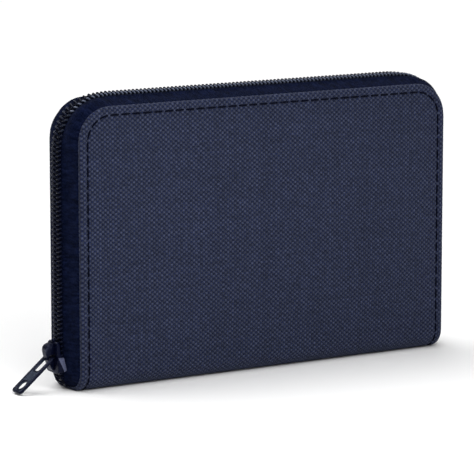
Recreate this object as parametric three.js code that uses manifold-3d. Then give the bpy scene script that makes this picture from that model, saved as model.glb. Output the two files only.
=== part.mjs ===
// Zip-around passport holder, closed and standing on its spine.
// Millimetres, +Z up. X runs along the spine, the front cover faces -Y, and the origin is
// the middle of the flat foot under the spine.
import * as THREE from "three";
import { mergeVertices } from "three/addons/utils/BufferGeometryUtils.js";
import Module from "manifold-3d";

const wasm = await Module();
wasm.setup();

// Driving dimensions of the closed holder.
const width = 150; // cover, side to side
const height = 97; // floor to the covers' top edge
const thickness = 22; // outer face to outer face
const cornerRadius = 12; // covers' top corners, seen from the front
const foldRadius = 7; // outside of the fold between spine and cover
const gap = 0.3; // air between pieces that touch on the real holder
const hingeGap = 0.5; // air between spine and cover, which turns past the spine's edge

const halfWidth = width / 2;
const halfThickness = thickness / 2;
const coverBottom = foldRadius + hingeGap;
const footHalf = halfThickness - foldRadius;

// The layers of a cover, from its outer face inwards.
const fabricThickness = 0.9;
const foamThickness = 1.8;
const boardThickness = 0.8;
const liningThickness = 0.5;
const pocketThickness = 0.4;
const foamDepth = fabricThickness + gap;
const boardDepth = foamDepth + foamThickness + gap;
const liningDepth = boardDepth + boardThickness + gap;
const pocketDepth = liningDepth + liningThickness + gap;
const paddingInset = 3.6; // foam and board stop short of the tape's seam allowance
const liningInset = 0.5;

// The zip: how far it stands outside the covers' outline, and its section.
const tapeThickness = 0.5;
const seamAllowance = 3; // tape caught between the outer fabric and the lining
const coilOut = 4; // outline to the coil's outer face
const coilIn = 2.3; // outline to the coil's inner face
const coilHalf = 2.8; // middle plane to the coil's outer side
const coilMiddle = 0.5; // middle plane to the coil's inner side
const zipSteps = 96; // along one side, the top and the other side

const navyFabric = { color: 0x2d3246, roughness: 0.9, metalness: 0 };
const navyTape = { color: 0x151b30, roughness: 0.8, metalness: 0 };
const navyCoil = { color: 0x11141f, roughness: 0.45, metalness: 0 };
const navyPaint = { color: 0x1a2040, roughness: 0.3, metalness: 0.6 };
const liningCloth = { color: 0x20263a, roughness: 0.75, metalness: 0 };
const foamRubber = { color: 0x45484f, roughness: 1, metalness: 0 };
const greyBoard = { color: 0x8b7a62, roughness: 0.95, metalness: 0 };

// Turns a shape drawn across and up, extruded towards the viewer, so that it is drawn in
// the YZ plane and extruded along +X.
const drawnInYZ = new THREE.Matrix4().makeBasis(
  new THREE.Vector3(0, 1, 0),
  new THREE.Vector3(0, 0, 1),
  new THREE.Vector3(1, 0, 0),
);

function named(name, geometry, look) {
  const mesh = new THREE.Mesh(geometry, new THREE.MeshStandardMaterial(look));
  mesh.name = name;
  return mesh;
}

function extruded(shape, depth) {
  return new THREE.ExtrudeGeometry(shape, {
    depth,
    bevelEnabled: false,
    curveSegments: 8,
  });
}

// A shape in the YZ plane, as thick as length and centred on x = 0.
function acrossX(shape, length) {
  return extruded(shape, length)
    .translate(0, 0, -length / 2)
    .applyMatrix4(drawnInYZ);
}

// A closed three.js geometry as a solid that can be joined and cut, and back again.
function solid(geometry) {
  const bare = geometry.clone();
  bare.deleteAttribute("normal");
  bare.deleteAttribute("uv");
  const merged = mergeVertices(bare, 1e-4);
  return new wasm.Manifold(
    new wasm.Mesh({
      numProp: 3,
      vertProperties: new Float32Array(merged.attributes.position.array),
      triVerts: new Uint32Array(merged.index.array),
    }),
  );
}

function geometryOf(manifold) {
  const mesh = manifold.getMesh();
  const geometry = new THREE.BufferGeometry();
  geometry.setAttribute("position", new THREE.BufferAttribute(mesh.vertProperties, 3));
  geometry.setIndex(new THREE.BufferAttribute(mesh.triVerts, 1));
  geometry.computeVertexNormals();
  return geometry;
}

function box(sizeX, sizeY, sizeZ, x, y, z) {
  return new THREE.BoxGeometry(sizeX, sizeY, sizeZ).translate(x, y, z);
}

// A panel with a straight bottom and rounded top corners, drawn in x and z.
function panelShape(half, bottom, top, radius) {
  const shape = new THREE.Shape();
  shape.moveTo(-half, bottom);
  shape.lineTo(half, bottom);
  shape.lineTo(half, top - radius);
  shape.absarc(half - radius, top - radius, radius, 0, Math.PI / 2, false);
  shape.lineTo(radius - half, top);
  shape.absarc(radius - half, top - radius, radius, Math.PI / 2, Math.PI, false);
  return shape;
}

// One layer of the front cover: its shape stood upright, a given depth below the outer face.
function layer(shape, depth, layerThickness) {
  return extruded(shape, layerThickness)
    .rotateX(Math.PI / 2)
    .translate(0, depth + layerThickness - halfThickness, 0);
}

function insetPanel(inset) {
  return panelShape(
    halfWidth - inset,
    coverBottom,
    height - inset,
    cornerRadius - inset,
  );
}

// The covers' outline as the zip follows it: up the left side, over the top and down the right.
function zipPath() {
  const side = height - cornerRadius;
  const across = halfWidth - cornerRadius;
  const corner = (sign, start, end) => {
    const arc = new THREE.Curve();
    arc.getPoint = (t, target = new THREE.Vector3()) => {
      const angle = start + (end - start) * t;
      return target.set(
        sign * across + cornerRadius * Math.cos(angle),
        0,
        side + cornerRadius * Math.sin(angle),
      );
    };
    return arc;
  };
  const path = new THREE.CurvePath();
  path.add(
    new THREE.LineCurve3(
      new THREE.Vector3(-halfWidth, 0, coverBottom),
      new THREE.Vector3(-halfWidth, 0, side),
    ),
  );
  path.add(corner(-1, Math.PI, Math.PI / 2));
  path.add(
    new THREE.LineCurve3(
      new THREE.Vector3(-across, 0, height),
      new THREE.Vector3(across, 0, height),
    ),
  );
  path.add(corner(1, Math.PI / 2, 0));
  path.add(
    new THREE.LineCurve3(
      new THREE.Vector3(halfWidth, 0, side),
      new THREE.Vector3(halfWidth, 0, coverBottom),
    ),
  );
  return path;
}

// A section given as distance outside the outline and distance in front of the middle plane.
// The path has its normal to the front and its binormal into the outline.
function alongZip(section) {
  return new THREE.ExtrudeGeometry(
    new THREE.Shape(section.map(([out, front]) => new THREE.Vector2(front, -out))),
    { steps: zipSteps, bevelEnabled: false, extrudePath: zipPath() },
  );
}

// The tape lies under the edge of the outer fabric, then slopes out to the coil.
function zipTape() {
  const sewn = halfThickness - foamDepth;
  return alongZip([
    [-seamAllowance, sewn],
    [0.15, sewn],
    [coilIn + 0.2, coilHalf + gap + 0.1],
    [coilIn - 0.3, coilHalf + gap],
    [-0.25, sewn - tapeThickness],
    [-seamAllowance, sewn - tapeThickness],
  ]);
}

// Half of the coil chain, as the plain round-shouldered strip that its loops fill.
function zipCoil() {
  const shoulder = 0.7;
  return alongZip([
    [coilIn, coilMiddle],
    [coilOut, coilMiddle],
    [coilOut, coilHalf - 1.4],
    [coilOut - shoulder * 0.3, coilHalf - shoulder],
    [coilOut - shoulder, coilHalf],
    [coilIn, coilHalf],
  ]);
}

// What the two covers have in common, built as the front one.
function cover(side) {
  const group = new THREE.Group();
  group.add(named(`${side}_outer_fabric`, layer(insetPanel(0), 0, fabricThickness), navyFabric));
  group.add(
    named(`${side}_foam`, layer(insetPanel(paddingInset), foamDepth, foamThickness), foamRubber),
  );
  group.add(
    named(`${side}_board`, layer(insetPanel(paddingInset), boardDepth, boardThickness), greyBoard),
  );
  group.add(
    named(`${side}_lining`, layer(insetPanel(liningInset), liningDepth, liningThickness), liningCloth),
  );
  group.add(named(`${side}_zip_tape`, zipTape(), navyTape));
  group.add(named(`${side}_coil`, zipCoil(), navyCoil));
  return group;
}

// The pocket that takes the passport's cover, open along its top, with a bound mouth.
function passportPocket() {
  const pocketHalf = 70;
  const mouth = 66;
  const bindingHeight = 6;
  const group = new THREE.Group();
  const pocket = panelShape(pocketHalf, coverBottom + 1, mouth, 1);
  group.add(
    named("passport_pocket", layer(pocket, pocketDepth, pocketThickness), liningCloth),
  );
  const binding = panelShape(pocketHalf, mouth + gap, mouth + gap + bindingHeight, 1);
  group.add(
    named("passport_pocket_binding", layer(binding, pocketDepth, pocketThickness * 2), navyFabric),
  );
  return group;
}

// A slip pocket with stepped card slots sewn on it, each slot in front of the one above.
function cardPockets() {
  const pocketHalf = 70;
  const slipMouth = 84;
  const slotMouths = [74, 62, 50];
  const slotHalf = 45.5;
  const group = new THREE.Group();
  const slip = panelShape(pocketHalf, coverBottom + 1, slipMouth, 6);
  group.add(named("slip_pocket", layer(slip, pocketDepth, pocketThickness), liningCloth));
  slotMouths.forEach((mouth, index) => {
    const depth = pocketDepth + (index + 1) * (pocketThickness + gap);
    const slot = panelShape(slotHalf, coverBottom + 2, mouth, 1);
    group.add(named(`card_slot_${index + 1}`, layer(slot, depth, pocketThickness), liningCloth));
  });
  return group;
}

// The U that a layer makes round the spine, between two depths below the outer face.
function spineShape(outerDepth, innerDepth) {
  const outer = foldRadius - outerDepth;
  const inner = foldRadius - innerDepth;
  const shape = new THREE.Shape();
  shape.moveTo(-footHalf - outer, foldRadius);
  shape.absarc(-footHalf, foldRadius, outer, Math.PI, 1.5 * Math.PI, false);
  shape.absarc(footHalf, foldRadius, outer, 1.5 * Math.PI, 2 * Math.PI, false);
  shape.lineTo(footHalf + inner, foldRadius);
  shape.absarc(footHalf, foldRadius, inner, 2 * Math.PI, 1.5 * Math.PI, true);
  shape.absarc(-footHalf, foldRadius, inner, 1.5 * Math.PI, Math.PI, true);
  return shape;
}

// The folded tab of tape cloth that closes each end of the spine below the zip.
function endTab(name, direction) {
  const tabLength = 1.8;
  const inset = 0.3;
  const radius = foldRadius - inset;
  const shape = new THREE.Shape();
  shape.moveTo(-footHalf - radius, foldRadius);
  shape.absarc(-footHalf, foldRadius, radius, Math.PI, 1.5 * Math.PI, false);
  shape.absarc(footHalf, foldRadius, radius, 1.5 * Math.PI, 2 * Math.PI, false);
  const tab = named(name, acrossX(shape, tabLength), navyTape);
  tab.position.x = direction * (halfWidth + gap + tabLength / 2);
  return tab;
}

function spine() {
  const group = new THREE.Group();
  const layers = [
    ["spine_fabric", 0, fabricThickness, width, navyFabric],
    ["spine_padding", foamDepth, foamThickness, width - 2 * paddingInset, foamRubber],
    ["spine_lining", liningDepth, liningThickness, width - 2 * liningInset, liningCloth],
  ];
  for (const [name, depth, layerThickness, length, look] of layers) {
    group.add(named(name, acrossX(spineShape(depth, depth + layerThickness), length), look));
  }
  group.add(endTab("left_end_tab", -1));
  group.add(endTab("right_end_tab", 1));
  return group;
}

// The slider, at the closed end of the zip on the left side. Its nose is its lower end.
const sliderLength = 12;
const sliderMiddle = 12;
const plateThickness = 1;
const plateOuterFace = coilOut + gap + plateThickness;
const plateHalf = 4.6;
const knobHalf = 0.75;
const knobHeight = 1.1;
const innerPlateNose = foldRadius + gap - sliderMiddle; // clear of the end tab
const crownWidth = 2.6;
const crownBase = plateOuterFace + gap;
const tabPivotOut = 6.4;
const tabPivotDrop = 0.6; // below the slider's middle
const tabNotch = 1.05; // half width of the notch in the crown for the pull tab's end bar
const tabLength = 16.8; // pivot to tip
const tabWidth = 6.4;
const tabThickness = 1;
const tabAngle = THREE.MathUtils.degToRad(50.5); // from hanging straight down

// The outer plate: broad shoulders at the nose, and a small knob at the tail.
function outerSliderPlate(out) {
  const nose = -sliderLength / 2;
  const knobTop = sliderLength / 2;
  const tail = knobTop - knobHeight;
  const outline = [
    [plateHalf * 0.45, nose],
    [plateHalf, nose + sliderLength * 0.28],
    [plateHalf * 0.78, tail - 0.8],
    [plateHalf * 0.6, tail],
    [knobHalf, tail],
    [knobHalf, knobTop],
  ];
  return plate(outline, out);
}

// The inner plate, between the tapes.
function innerSliderPlate(out) {
  const half = 2.5;
  const tail = sliderLength / 2 - knobHeight;
  const outline = [
    [half * 0.45, innerPlateNose],
    [half, innerPlateNose + 2.4],
    [half * 0.86, tail - 1],
    [half * 0.7, tail],
  ];
  return plate(outline, out);
}

// A plate that is the same on both sides, from the points of its right edge upwards.
function plate(outline, out) {
  const shape = new THREE.Shape();
  const left = outline.map(([across, up]) => [-across, up]).reverse();
  outline.concat(left).forEach(([across, up], i) => {
    if (i === 0) shape.moveTo(across, up);
    else shape.lineTo(across, up);
  });
  return acrossX(shape, plateThickness).translate(-out - plateThickness / 2, 0, 0);
}

function sliderBody() {
  const outerPlate = coilOut + gap;
  const innerPlate = coilIn - gap - plateThickness;
  const postWidth = 0.4;
  const postLength = 3.5;
  const lipDepth = 1.5;
  const lipWidth = 0.7;
  const lipLength = 4;
  const lipMiddle = -1.6;
  const lipAcross = 3.85;
  const reach = outerPlate - innerPlate;
  const post = box(
    reach,
    postWidth,
    postLength,
    -(outerPlate + innerPlate + plateThickness) / 2,
    0,
    innerPlateNose + postLength / 2,
  );
  const lip = box(
    lipDepth + plateThickness / 2,
    lipWidth,
    lipLength,
    -(outerPlate - lipDepth / 2 + plateThickness / 4),
    lipAcross,
    lipMiddle,
  );
  const body = solid(outerSliderPlate(outerPlate))
    .add(solid(innerSliderPlate(innerPlate)))
    .add(solid(post))
    .add(solid(lip));
  return named("slider_body", geometryOf(body), navyPaint);
}

// The crown: a cap that is highest near the tail, notched for the pull tab's end bar.
function sliderCrown() {
  const tail = 4.6;
  const nose = -5.2;
  const notchTop = tabPivotOut - crownBase;
  const shape = new THREE.Shape();
  shape.moveTo(nose, 0);
  shape.lineTo(-tabPivotDrop - tabNotch, 0);
  shape.lineTo(-tabPivotDrop - tabNotch, notchTop);
  shape.absarc(-tabPivotDrop, notchTop, tabNotch, Math.PI, 0, true);
  shape.lineTo(-tabPivotDrop + tabNotch, 0);
  shape.lineTo(tail, 0);
  shape.lineTo(tail - 0.3, 1.4);
  shape.lineTo(tail - 1, 2.6);
  shape.lineTo(tail - 1.8, 3);
  shape.lineTo(tail - 3.4, 2.85);
  shape.lineTo(-tabPivotDrop, 2.35);
  shape.lineTo(nose + 0.6, 0.5);
  const geometry = extruded(shape, crownWidth)
    .translate(0, 0, -crownWidth / 2)
    .applyMatrix4(
      new THREE.Matrix4().makeBasis(
        new THREE.Vector3(0, 0, 1),
        new THREE.Vector3(-1, 0, 0),
        new THREE.Vector3(0, -1, 0),
      ),
    );
  const crown = named("slider_crown", geometry, navyPaint);
  crown.position.x = -crownBase;
  return crown;
}

function roundedRectangle(path, half, low, high, radius) {
  path.moveTo(-half + radius, low);
  path.absarc(half - radius, low + radius, radius, 1.5 * Math.PI, 2 * Math.PI, false);
  path.absarc(half - radius, high - radius, radius, 0, Math.PI / 2, false);
  path.absarc(-half + radius, high - radius, radius, Math.PI / 2, Math.PI, false);
  path.absarc(-half + radius, low + radius, radius, Math.PI, 1.5 * Math.PI, false);
  return path;
}

// The pull tab, drawn hanging: a long slot for the crown, and a small hole near its tip.
function pullTab() {
  const endBar = 0.55;
  const shape = roundedRectangle(new THREE.Shape(), tabWidth / 2, -tabLength, endBar, 1.3);
  shape.holes.push(roundedRectangle(new THREE.Path(), 1.8, -6.5, -endBar, 0.8));
  shape.holes.push(roundedRectangle(new THREE.Path(), 1.6, -15.1, -11.7, 1.2));
  const tab = named("pull_tab", acrossX(shape, tabThickness), navyPaint);
  tab.rotation.y = tabAngle;
  tab.position.set(-tabPivotOut, 0, -tabPivotDrop);
  return tab;
}

function slider() {
  const group = new THREE.Group();
  group.add(sliderBody());
  group.add(sliderCrown());
  group.add(pullTab());
  group.position.set(-halfWidth, 0, sliderMiddle);
  return group;
}

const group = new THREE.Group();
group.add(spine());

const frontCover = cover("front");
frontCover.add(passportPocket());
group.add(frontCover);

const backCover = cover("back");
backCover.add(cardPockets());
backCover.rotation.z = Math.PI;
group.add(backCover);

group.add(slider());

export default group;
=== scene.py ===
import math

import bpy
from mathutils import Matrix, Vector, noise


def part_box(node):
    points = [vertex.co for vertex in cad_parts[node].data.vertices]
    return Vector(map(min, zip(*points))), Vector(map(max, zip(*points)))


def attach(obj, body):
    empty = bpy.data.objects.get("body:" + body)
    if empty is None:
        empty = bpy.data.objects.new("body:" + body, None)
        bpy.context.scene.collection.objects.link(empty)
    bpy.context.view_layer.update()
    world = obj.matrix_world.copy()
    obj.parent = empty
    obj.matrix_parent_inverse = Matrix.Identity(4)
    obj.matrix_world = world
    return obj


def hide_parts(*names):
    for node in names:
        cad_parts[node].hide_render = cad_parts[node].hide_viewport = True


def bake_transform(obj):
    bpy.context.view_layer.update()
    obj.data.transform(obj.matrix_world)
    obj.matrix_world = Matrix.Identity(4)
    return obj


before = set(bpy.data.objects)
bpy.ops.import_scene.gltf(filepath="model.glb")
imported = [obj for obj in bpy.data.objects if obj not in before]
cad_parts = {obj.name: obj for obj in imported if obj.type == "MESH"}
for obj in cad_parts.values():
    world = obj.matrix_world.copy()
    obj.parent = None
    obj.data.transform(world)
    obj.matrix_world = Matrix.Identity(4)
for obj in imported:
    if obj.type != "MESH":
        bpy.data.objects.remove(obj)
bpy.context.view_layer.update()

MM = 0.001
SIDES = {"front": 1, "back": -1}

# Sizes of the covers, from the frame.
COVER_LOW, COVER_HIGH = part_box("front_outer_fabric")
HALF_WIDTH = COVER_HIGH.x
TOP = COVER_HIGH.z
HALF_THICK = -COVER_LOW.y
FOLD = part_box("spine_fabric")[1].z
FOOT_HALF = HALF_THICK - FOLD
FOLD_LENGTH = math.pi / 2 * FOLD
FOLD_END = FOOT_HALF + FOLD_LENGTH
SHEET_LENGTH = FOLD_END + TOP - FOLD
CORNER = 12 * MM

# The outer cloth: how its edge rolls over, and where it is sewn.
EDGE_ROLL = 1.1 * MM
CLOTH_THICK = 1.25 * MM
CROWN_HEIGHT = 0.75 * MM
CROWN_DENTS = 0.22 * MM
GROOVE_DEPTH = 0.34 * MM
GROOVE_WIDTH = 0.55 * MM
STITCH_INSET = 3.0 * MM
STITCH_PITCH = 4.24 * MM
STITCH_LENGTH = 3.85 * MM
THREAD_RADIUS = 0.3 * MM

# The zip, measured outwards from the covers' outline and forwards from the middle plane.
COIL_PITCH = 1.55 * MM
COIL_RADIUS = 0.37 * MM
TAPE_THICK = 0.45 * MM
TAIL_RADIUS = 4.5 * MM
TAIL_HEIGHT = 4.6 * MM
TAIL_TURN = math.radians(60)
TAIL_LENGTH = TAIL_RADIUS * TAIL_TURN


def smooth(value):
    value = min(max(value, 0), 1)
    return value * value * (3 - 2 * value)


def spaced(low, high, step):
    """Evenly spaced values from low to high, about step apart, without the two ends."""
    count = max(1, round((high - low) / step))
    return [low + (high - low) * i / count for i in range(1, count)]


def circle(count):
    """Angles of even steps round a circle."""
    return [math.tau * j / count for j in range(count)]


def girth(radius, sides):
    """Distances round a tube, from its seam back to its seam."""
    return [radius * math.tau * j / sides for j in range(sides + 1)]


def link(name, data):
    """A new object in the scene."""
    made = bpy.data.objects.new(name, data)
    bpy.context.scene.collection.objects.link(made)
    return made


# ---- materials


class Shader:
    """A material with a Principled shader, and short calls for the nodes that feed it."""

    def __init__(self, name, roughness=0.8, **settings):
        self.material = bpy.data.materials.new(name)
        self.material.use_nodes = True
        self.tree = self.material.node_tree
        self.surface = self.tree.nodes["Principled BSDF"]
        self.surface.inputs["Roughness"].default_value = roughness
        for socket, value in settings.items():
            self.surface.inputs[socket.replace("_", " ")].default_value = value

    def feed(self, socket, value):
        if isinstance(value, bpy.types.NodeSocket):
            self.tree.links.new(value, socket)
        else:
            socket.default_value = value

    def math(self, operation, a, b=0.0):
        node = self.tree.nodes.new("ShaderNodeMath")
        node.operation = operation
        self.feed(node.inputs[0], a)
        self.feed(node.inputs[1], b)
        return node.outputs[0]

    def times(self, a, b):
        return self.math("MULTIPLY", a, b)

    def plus(self, a, b):
        return self.math("ADD", a, b)

    def wave(self, value, period):
        return self.math("SINE", self.times(value, math.tau / period))

    def mix(self, factor, a, b):
        node = self.tree.nodes.new("ShaderNodeMix")
        node.data_type = "RGBA"
        self.feed(node.inputs["Factor"], factor)
        self.feed(node.inputs[6], a)
        self.feed(node.inputs[7], b)
        return node.outputs[2]

    def scaled(self, colour, factor):
        """A colour times a number."""
        node = self.tree.nodes.new("ShaderNodeVectorMath")
        node.operation = "SCALE"
        self.feed(node.inputs[0], colour)
        self.feed(node.inputs["Scale"], factor)
        return node.outputs[0]

    def range(self, value, low, high, to_low, to_high):
        node = self.tree.nodes.new("ShaderNodeMapRange")
        for socket, number in zip(node.inputs, (value, low, high, to_low, to_high)):
            self.feed(socket, number)
        return node.outputs[0]

    def cloth_uv(self):
        """Distances along the piece, in metres, as two sockets."""
        node = self.tree.nodes.new("ShaderNodeUVMap")
        node.uv_map = "ClothMap"
        split = self.tree.nodes.new("ShaderNodeSeparateXYZ")
        self.feed(split.inputs[0], node.outputs[0])
        return split.outputs[0], split.outputs[1]

    def point(self, x, y, z=0.0):
        node = self.tree.nodes.new("ShaderNodeCombineXYZ")
        for socket, value in zip(node.inputs, (x, y, z)):
            self.feed(socket, value)
        return node.outputs[0]

    def place(self):
        return self.tree.nodes.new("ShaderNodeTexCoord").outputs["Object"]

    def noise(self, vector, scale, detail=2.0):
        node = self.tree.nodes.new("ShaderNodeTexNoise")
        self.feed(node.inputs["Vector"], vector)
        node.inputs["Scale"].default_value = scale
        node.inputs["Detail"].default_value = detail
        return node.outputs[0]

    def random(self, value):
        node = self.tree.nodes.new("ShaderNodeTexWhiteNoise")
        node.noise_dimensions = "1D"
        self.feed(node.inputs["W"], value)
        return node.outputs[0]

    def spread(self, value, low, high):
        """A number from low to high that differs for each value."""
        return self.range(self.random(value), 0, 1, low, high)

    def bump(self, height, distance):
        node = self.tree.nodes.new("ShaderNodeBump")
        node.inputs["Strength"].default_value = 1.0
        node.inputs["Distance"].default_value = distance
        self.feed(node.inputs["Height"], height)
        self.feed(self.surface.inputs["Normal"], node.outputs[0])

    def colour(self, value):
        self.feed(self.surface.inputs["Base Color"], value)

    def roughness(self, value):
        self.feed(self.surface.inputs["Roughness"], value)


def plain_weave(shader, along, across, pitch, cover=0.0):
    """Threads over and under. Gives the height, which thread is on top, and the thread numbers.

    A negative cover widens the first thread's share of the surface.
    """
    wobble = shader.noise(shader.point(along, across), 260.0, 1.0)
    wobble = shader.range(wobble, 0.3, 0.7, -0.09, 0.09)
    first = shader.plus(shader.math("DIVIDE", along, pitch[0]), wobble)
    second = shader.plus(shader.math("DIVIDE", across, pitch[1]), wobble)
    wave_a, wave_b = shader.wave(first, 2), shader.wave(second, 2)
    ridge_a, ridge_b = shader.math("ABSOLUTE", wave_a), shader.math("ABSOLUTE", wave_b)
    over = shader.math("GREATER_THAN", shader.times(wave_a, wave_b), cover)

    def crossing(across_thread, along_thread):
        crest = shader.math("POWER", across_thread, 0.6)
        return shader.times(crest, shader.range(along_thread, 0, 1, 0.5, 1))

    top_a = shader.times(over, crossing(ridge_a, ridge_b))
    top_b = shader.times(shader.math("SUBTRACT", 1.0, over), crossing(ridge_b, ridge_a))
    height = shader.plus(top_a, top_b)
    return height, over, shader.math("FLOOR", first), shader.math("FLOOR", second)


def outer_cloth():
    """Coarse plain weave of a lighter thread across a darker one, both navy."""
    shader = Shader(
        "navy_woven_cloth",
        roughness=0.85,
        Sheen_Weight=0.08,
        Sheen_Roughness=0.5,
        Sheen_Tint=(0.5, 0.58, 0.9, 1),
        Specular_IOR_Level=0.12,
    )
    u, v = shader.cloth_uv()
    height, over, first, second = plain_weave(shader, u, v, (0.985 * MM, 0.80 * MM), -0.22)
    thread = shader.mix(over, (0.005, 0.009, 0.034, 1), (0.033, 0.040, 0.074, 1))
    crossing = shader.plus(shader.times(first, 37.0), second)
    shade = shader.times(shader.spread(first, 0.94, 1.06), shader.spread(second, 0.94, 1.06))
    shade = shader.times(shade, shader.spread(crossing, 0.78, 1.22))
    fibres = shader.noise(shader.point(u, v), 2600.0, 2.0)
    patches = shader.noise(shader.point(u, v), 60.0, 3.0)
    # Darker where the threads dip away from their crests: painted shade in the hollows of the
    # weave.
    shade = shader.times(shade, shader.range(height, 0.1, 0.9, 0.35, 1.12))
    shade = shader.times(shade, shader.range(fibres, 0.3, 0.7, 0.75, 1.25))
    shade = shader.times(shade, shader.range(patches, 0.3, 0.7, 0.95, 1.05))
    shader.colour(shader.scaled(thread, shade))
    shader.roughness(shader.range(fibres, 0.3, 0.7, 0.78, 0.92))
    shader.bump(shader.plus(height, shader.times(fibres, 0.15)), 0.28 * MM)
    return shader.material


def tape_cloth():
    """Dull twill with a fine diagonal rib, uneven and crumpled a little."""
    shader = Shader(
        "zip_tape_twill",
        roughness=0.7,
        Sheen_Weight=0.025,
        Sheen_Roughness=0.35,
        Sheen_Tint=(0.6, 0.68, 0.95, 1),
        Specular_IOR_Level=0.015,
        Specular_Tint=(0.3, 0.45, 1.0, 1),
    )
    pitch = 0.55 * MM
    u, v = shader.cloth_uv()
    ribs = shader.wave(shader.plus(u, shader.times(v, 0.8)), pitch)
    height = shader.plus(ribs, shader.times(shader.wave(v, pitch * 0.45), 0.35))
    rib = shader.math("FLOOR", shader.math("DIVIDE", u, 0.62 * MM))
    patch = shader.math("FLOOR", shader.math("DIVIDE", v, 0.9 * MM))
    cell = shader.plus(rib, shader.times(patch, 57.0))
    height = shader.plus(height, shader.spread(cell, -1.2, 1.2))
    crumple = shader.noise(shader.point(u, shader.times(v, 0.3)), 420.0, 2.0)
    height = shader.plus(height, shader.range(crumple, 0.3, 0.7, -2.0, 2.0))
    streaks = shader.noise(shader.point(u, shader.times(v, 0.25)), 1300.0, 2.0)
    light = shader.range(streaks, 0.35, 0.65, 0.0, 1.0)
    tone = shader.mix(light, (0.0014, 0.003, 0.014, 1), (0.0052, 0.0083, 0.028, 1))
    # The tone follows the height: a random tone for each rib cell, and painted shade in the hollows
    # of the ribs and crumples.
    shader.colour(shader.scaled(tone, shader.range(height, -3.4, 3.4, 0.4, 1.5)))
    shader.roughness(shader.range(streaks, 0.3, 0.7, 0.62, 0.8))
    shader.bump(height, 0.07 * MM)
    return shader.material


def lining_cloth():
    """Fine taffeta with slubs across it."""
    shader = Shader("lining_taffeta", roughness=0.6, Sheen_Weight=0.3, Sheen_Roughness=0.3)
    u, v = shader.cloth_uv()
    height = plain_weave(shader, u, v, (0.36 * MM, 0.34 * MM))[0]
    slub = shader.noise(shader.point(u, shader.times(v, 20.0)), 300.0, 2.0)
    tone = shader.mix(slub, (0.016, 0.021, 0.046, 1), (0.028, 0.035, 0.068, 1))
    # Darker in the hollows of the weave: painted shade.
    shader.colour(shader.scaled(tone, shader.range(height, 0.0, 1.0, 0.7, 1.1)))
    shader.roughness(shader.range(slub, 0.3, 0.7, 0.5, 0.68))
    shader.bump(height, 0.06 * MM)
    return shader.material


def thread():
    """Twisted sewing thread, near black."""
    shader = Shader("sewing_thread", roughness=0.7, Specular_IOR_Level=0.06)
    u, v = shader.cloth_uv()
    twist = shader.wave(shader.plus(shader.times(u, 1.6), v), 0.5 * MM)
    # Darker in the grooves of the twist: painted shade.
    tone = shader.range(twist, -1, 1, 0.5, 1.2)
    shader.colour(shader.scaled((0.0008, 0.0018, 0.010), tone))
    shader.roughness(shader.range(twist, -1, 1, 0.7, 0.5))
    shader.bump(twist, 0.06 * MM)
    return shader.material


def coil_nylon(name, gloss, low, high):
    tint = (0.6, 0.68, 0.95, 1)
    shader = Shader(name, roughness=0.34, Specular_IOR_Level=gloss, Specular_Tint=tint)
    grain = shader.noise(shader.place(), 900.0, 3.0)
    shader.colour(shader.mix(grain, (*low, 1), (*high, 1)))
    shader.roughness(shader.range(grain, 0.3, 0.7, 0.2, 0.34))
    shader.bump(grain, 0.02 * MM)
    return shader.material


def slider_paint(name, low, high, gloss):
    """Glossy navy paint on a die casting, worn a little on its edges."""
    shader = Shader(
        name,
        roughness=0.25,
        Specular_IOR_Level=gloss,
        Specular_Tint=(0.6, 0.66, 0.95, 1),
        Metallic=0.15,
    )
    geometry = shader.tree.nodes.new("ShaderNodeNewGeometry")
    grain = shader.noise(shader.place(), 700.0, 4.0)
    edge = shader.range(geometry.outputs["Pointiness"], 0.54, 0.62, 0.0, 1.0)
    worn = shader.times(edge, shader.range(grain, 0.45, 0.65, 0.0, 0.25))
    paint = shader.mix(grain, (*low, 1), (*high, 1))
    shader.colour(shader.mix(worn, paint, (0.16, 0.18, 0.26, 1)))
    shader.roughness(shader.range(grain, 0.3, 0.7, 0.2, 0.32))
    shader.bump(grain, 0.015 * MM)
    return shader.material


def foam():
    shader = Shader("padding_foam", roughness=0.95)
    cells = shader.noise(shader.place(), 1500.0, 4.0)
    shader.colour(shader.mix(cells, (0.04, 0.042, 0.05, 1), (0.09, 0.095, 0.11, 1)))
    shader.bump(cells, 0.2 * MM)
    return shader.material


def grey_board():
    shader = Shader("grey_board", roughness=0.9)
    pulp = shader.noise(shader.place(), 800.0, 6.0)
    shader.colour(shader.mix(pulp, (0.17, 0.135, 0.09, 1), (0.30, 0.25, 0.18, 1)))
    shader.bump(pulp, 0.05 * MM)
    return shader.material


OUTER_CLOTH = outer_cloth()
TAPE_CLOTH = tape_cloth()
LINING = lining_cloth()
THREAD = thread()
# Three copies of one nylon that differ only in how lit they look. The lightest, glossiest one is a
# painted highlight for the top run. The darkest, dullest one is painted shade for the side runs.
# The middle one lies between.
TOP_NYLON_PAINTED_HIGHLIGHT = coil_nylon("coil_nylon_painted_highlight", 1.0, (0.035, 0.042, 0.065), (0.055, 0.065, 0.095))
CORNER_NYLON_PART_SHADE = coil_nylon("coil_nylon", 0.22, (0.002, 0.004, 0.012), (0.005, 0.008, 0.02))
SIDE_NYLON_PAINTED_SHADE = coil_nylon("coil_nylon_painted_shade", 0.12, (0.001, 0.002, 0.009), (0.003, 0.0045, 0.016))
PAINT = slider_paint("slider_navy_paint", (0.0008, 0.0014, 0.008), (0.002, 0.003, 0.014), 0.13)
# A lighter copy of the slider paint for the pull tab's web: painted light on its broad face.
TAB_PAINT_PAINTED_LIGHT = slider_paint("tab_navy_paint_painted_light", (0.010, 0.016, 0.030), (0.020, 0.030, 0.050), 0.3)
# A lighter copy of the slider paint for a strip on the side lips: a painted highlight.
LIP_PAINTED_HIGHLIGHT = slider_paint("lip_paint_painted_highlight", (0.06, 0.068, 0.12), (0.10, 0.11, 0.18), 0.4)
FOAM = foam()
BOARD = grey_board()


# ---- mesh building


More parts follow.
